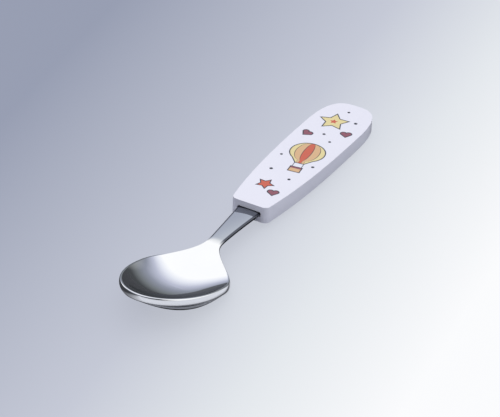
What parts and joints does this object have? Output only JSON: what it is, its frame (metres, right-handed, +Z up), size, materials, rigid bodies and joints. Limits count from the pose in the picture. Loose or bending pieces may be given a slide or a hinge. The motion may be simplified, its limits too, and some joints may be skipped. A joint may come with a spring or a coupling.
{
  "type": "baby_spoon",
  "caption": "Baby feeding spoon with a thick-rimmed polished steel bowl on a slim neck, set in a flat white plastic handle with a small printed pattern on top.",
  "frame": {"origin": "middle of the length and width, on the table that the spoon rests on", "axes": "+X runs from the bowl's tip to the handle's butt, +Z is up as the spoon rests on the bowl and the butt's lower edge, +Y completes the right-handed frame"},
  "size_m": [0.1399, 0.0304, 0.0136],
  "materials": {
    "polished_steel": "mirror polished stainless steel",
    "white_plastic": "glossy white moulded plastic with a printed pattern on the top face",
    "cement": "cured resin cement, hidden in the socket"
  },
  "bodies": {
    "root": {"spoon_blade": "polished_steel", "handle": "white_plastic", "tang_cement": "cement"}
  },
  "joints": []
}
